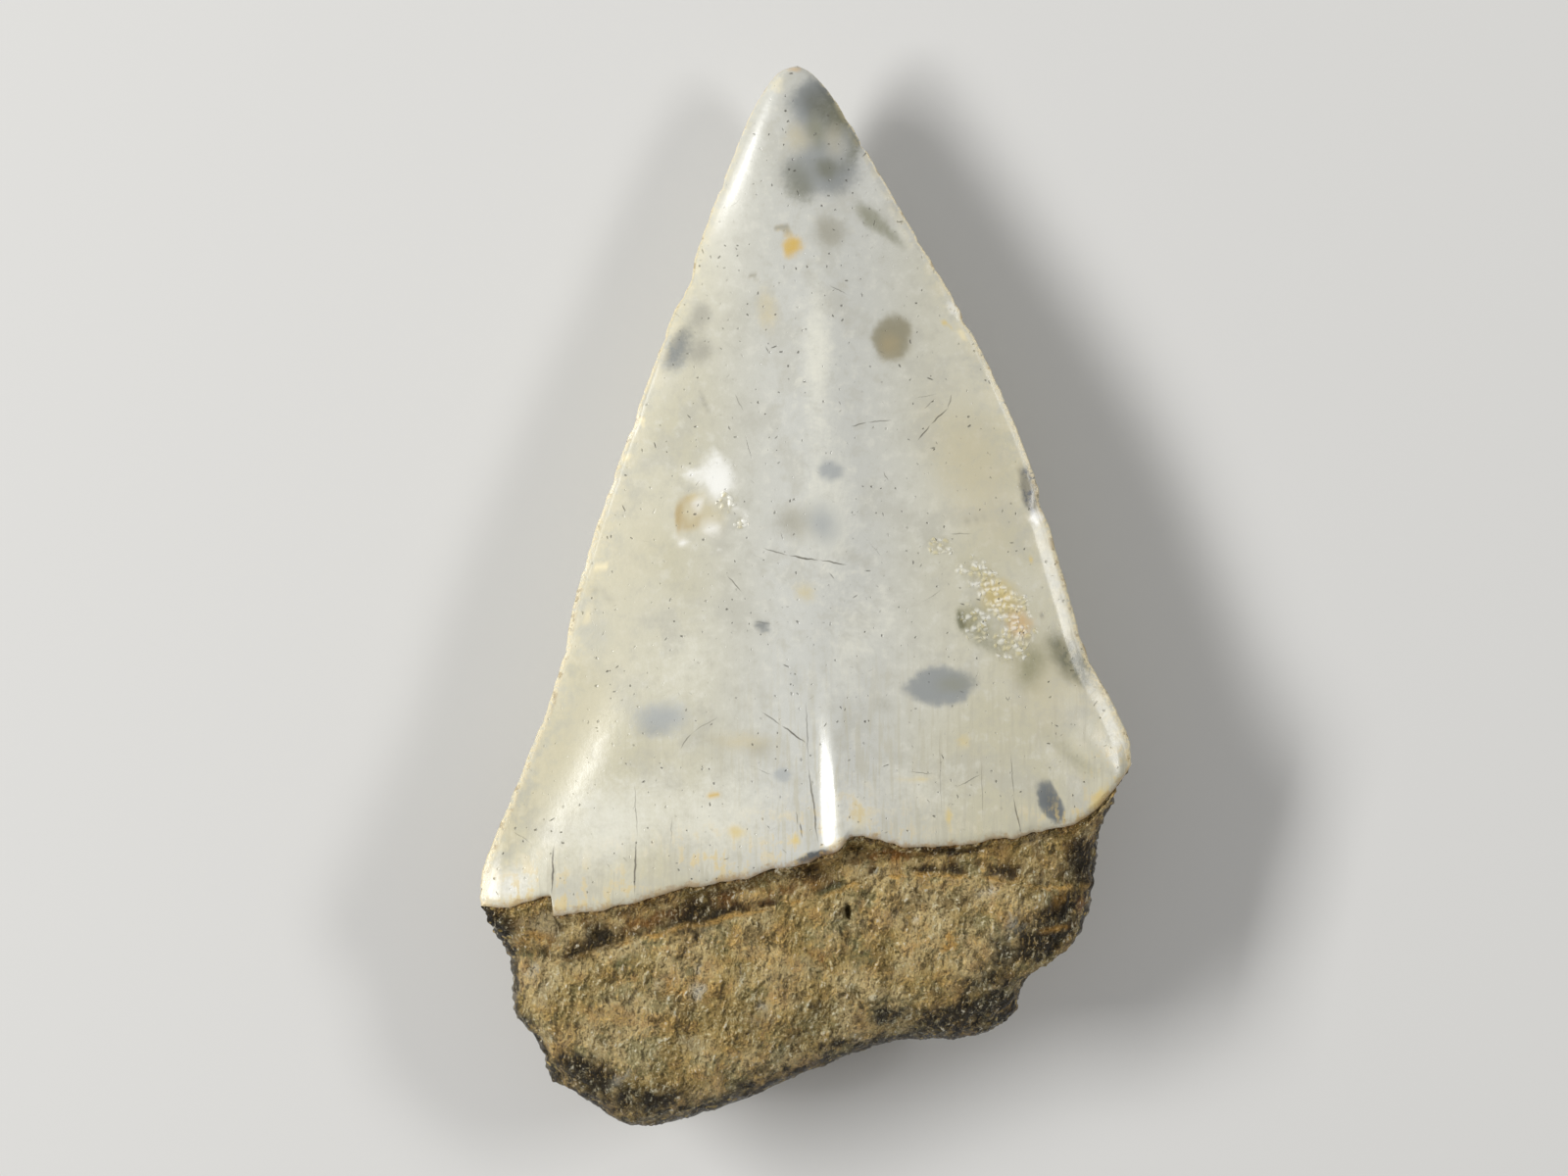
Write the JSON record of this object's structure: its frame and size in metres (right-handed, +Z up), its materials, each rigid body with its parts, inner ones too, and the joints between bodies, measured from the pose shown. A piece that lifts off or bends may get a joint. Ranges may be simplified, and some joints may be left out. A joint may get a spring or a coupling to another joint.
{
  "type": "fossil shark tooth",
  "caption": "Broad flat fossil shark tooth: grey-cream triangular enamel crown with fine cutting edges on a rough dark brown two-lobed root.",
  "frame": {"origin": "middle of the tooth's outline seen from above, on the surface that the tooth lies on", "axes": "+Z up out of the flat lip side, +Y from the root towards the tip, +X across the tooth to the right as seen with the tip up"},
  "size_m": [0.0256, 0.042, 0.0082],
  "materials": {
    "fossil_tooth": "polished grey-cream enamel over a rough brown root"
  },
  "bodies": {
    "root": {"tooth": "fossil_tooth"}
  },
  "joints": []
}
